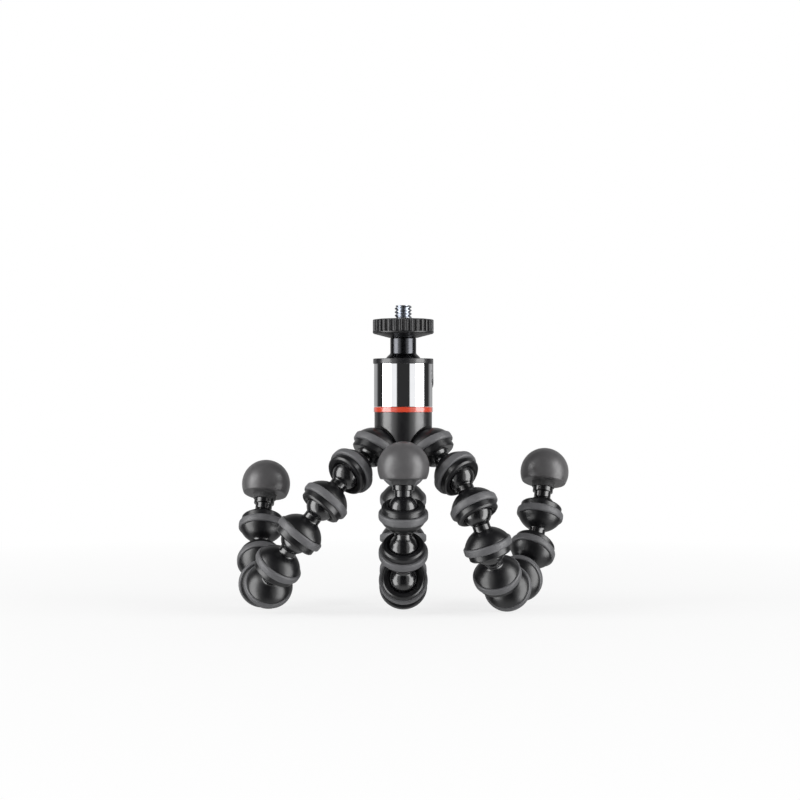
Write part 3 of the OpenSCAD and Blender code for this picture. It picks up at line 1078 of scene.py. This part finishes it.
@dataclass
class Studio:
    """A white floor and backdrop, two tall soft boxes and the camera."""

    camera_at: Corner = (-0.0012, -0.750, -0.030)
    lens: float = 91.125
    box_distance: float = 0.8
    box_angle: float = 69.0
    box_width: float = 0.56
    box_height: float = 1.4
    box_radiance: float = 5.4
    box_aim: Corner = (0.0, 0.0, -0.06)
    ambient: float = 0.30
    dark: float = 0.03
    glow: float = 0.4
    glow_span: Span = (0.45, 0.7)
    flag_span: Span = (0.40, 0.46)
    front_span: Span = (0.0, -0.08)
    ground: float = 0.7
    ground_span: Span = (-0.6, -0.85)
    floor_size: float = 6.0
    floor_span: Span = (0.10, 0.42)
    floor_white: Span = (0.78, 1.0)
    fibre_mm: float = 0.8

    def build(self) -> None:
        """Builds the studio."""
        scene = bpy.context.scene
        scene.view_settings.view_transform = "Standard"
        self.camera(scene)
        self.world(scene)
        self.floor()
        for name, sign in (("soft_box_left", -1), ("soft_box_right", 1)):
            self.soft_box(name, sign)

    def camera(self, scene: bpy.types.Scene) -> None:
        """The camera: level, square to the head and about 0.75 m away."""
        made = bpy.data.cameras.new("camera")
        made.lens = self.lens
        made.sensor_width = 36.0
        eye = bpy.data.objects.new("camera", made)
        eye.location = self.camera_at
        eye.rotation_euler = (math.pi / 2, 0, 0)
        scene.collection.objects.link(eye)
        scene.camera = eye

    def world(self, scene: bpy.types.Scene) -> None:
        """White for the viewer, and for reflections a dark room with white flags, a pale back and ground."""
        made = bpy.data.worlds.new("studio")
        made.use_nodes = True
        scene.world = made
        tree = made.node_tree
        rays = add_node(tree, "ShaderNodeLightPath")
        way = add_node(tree, "ShaderNodeTexCoord")
        parts = add_node(tree, "ShaderNodeSeparateXYZ", links={0: way.outputs["Generated"]})
        behind = ramp(tree, parts.outputs["Y"], self.glow_span, self.dark, self.glow)
        aside = ramp(tree, reckon(tree, "ABSOLUTE", parts.outputs["X"]), self.flag_span)
        front = ramp(tree, parts.outputs["Y"], self.front_span)
        below = ramp(tree, parts.outputs["Z"], self.ground_span, 0.0, self.ground)
        lit = reckon(tree, "MAXIMUM", reckon(tree, "MULTIPLY", aside, front), below)
        room = reckon(tree, "MAXIMUM", behind, lit)
        sharp = reckon(tree, "MAXIMUM", rays.outputs["Is Glossy Ray"], rays.outputs["Is Transmission Ray"])
        straight = reckon(tree, "MAXIMUM", rays.outputs["Is Camera Ray"], reckon(tree, "MULTIPLY", sharp, room))
        soft = add_node(tree, "ShaderNodeMath", {"operation": "MULTIPLY", 1: self.ambient},
                        {0: rays.outputs["Is Diffuse Ray"]})
        strength = reckon(tree, "MAXIMUM", straight, soft.outputs[0])
        back = tree.nodes["Background"]
        back.inputs["Color"].default_value = (1, 1, 1, 1)
        tree.links.new(strength, back.inputs["Strength"])

    def floor(self) -> None:
        """A pale floor that touches the lowest point and keeps the object's shadow close by."""
        low = cad_box[0].z / MM
        half = self.floor_size / 2 / MM
        mesh = meshed("floor", [(-half, -half, low), (half, -half, low), (half, half, low), (-half, half, low)],
                      [(0, 1, 2, 3)])
        made = bpy.data.materials.new("paper_white_matte")
        made.use_nodes = True
        tree = made.node_tree
        tree.nodes.clear()
        rays = add_node(tree, "ShaderNodeLightPath")
        way = add_node(tree, "ShaderNodeTexCoord")
        far = add_node(tree, "ShaderNodeVectorMath", {"operation": "LENGTH"}, {0: way.outputs["Object"]})
        near = ramp(tree, far.outputs["Value"], self.floor_span, *self.floor_white)
        fibre = add_node(tree, "ShaderNodeTexNoise", {"Scale": per_metre(self.fibre_mm), "Detail": 3.0},
                         {"Vector": way.outputs["Object"]})
        tone = add_node(tree, "ShaderNodeMixRGB", {"Color1": linear("#f2f2f2"), "Color2": linear("#f6f6f6")},
                        {"Fac": fibre.outputs["Fac"]})
        paper = add_node(tree, "ShaderNodeBsdfDiffuse", links={"Color": tone.outputs["Color"]})
        white = add_node(tree, "ShaderNodeEmission", {"Color": (1, 1, 1, 1), "Strength": 1.0})
        share = reckon(tree, "MULTIPLY", near, rays.outputs["Is Camera Ray"])
        shown = add_node(tree, "ShaderNodeMixShader", links={0: share, 1: paper.outputs[0], 2: white.outputs[0]})
        clear = add_node(tree, "ShaderNodeBsdfTransparent")
        # Reflections go through the floor, to the pale ground and the lower ends of the soft boxes
        mixed = add_node(tree, "ShaderNodeMixShader",
                         links={0: rays.outputs["Is Glossy Ray"], 1: shown.outputs[0], 2: clear.outputs[0]})
        add_node(tree, "ShaderNodeOutputMaterial", links={"Surface": mixed.outputs[0]})
        mesh.materials.append(made)
        floor = bpy.data.objects.new("floor", mesh)
        bpy.context.scene.collection.objects.link(floor)

    def soft_box(self, name: str, sign: int) -> None:
        """One tall soft box beside the object.

        Args:
            name: The lamp's name.
            sign: -1 on the left and 1 on the right.
        """
        lamp = bpy.data.lights.new(name, "AREA")
        lamp.shape = "RECTANGLE"
        lamp.size, lamp.size_y = self.box_width, self.box_height
        lamp.energy = self.box_radiance * math.pi * self.box_width * self.box_height
        made = bpy.data.objects.new(name, lamp)
        angle = math.radians(self.box_angle)
        away = Vector((sign * math.sin(angle), -math.cos(angle), 0.0))
        made.location = Vector(self.box_aim) + away * self.box_distance
        made.rotation_euler = away.to_track_quat("Z", "Y").to_euler()
        bpy.context.scene.collection.objects.link(made)


def main() -> None:
    """Builds the tripod and its studio."""
    logging.basicConfig(level=logging.INFO, format="%(name)s: %(message)s")
    Studio().build()
    shapes = LegShapes()
    BallHead().build()
    Hub(shapes).build()
    for side in Side:
        Leg(side, shapes).build()


if __name__ == "__main__":
    main()
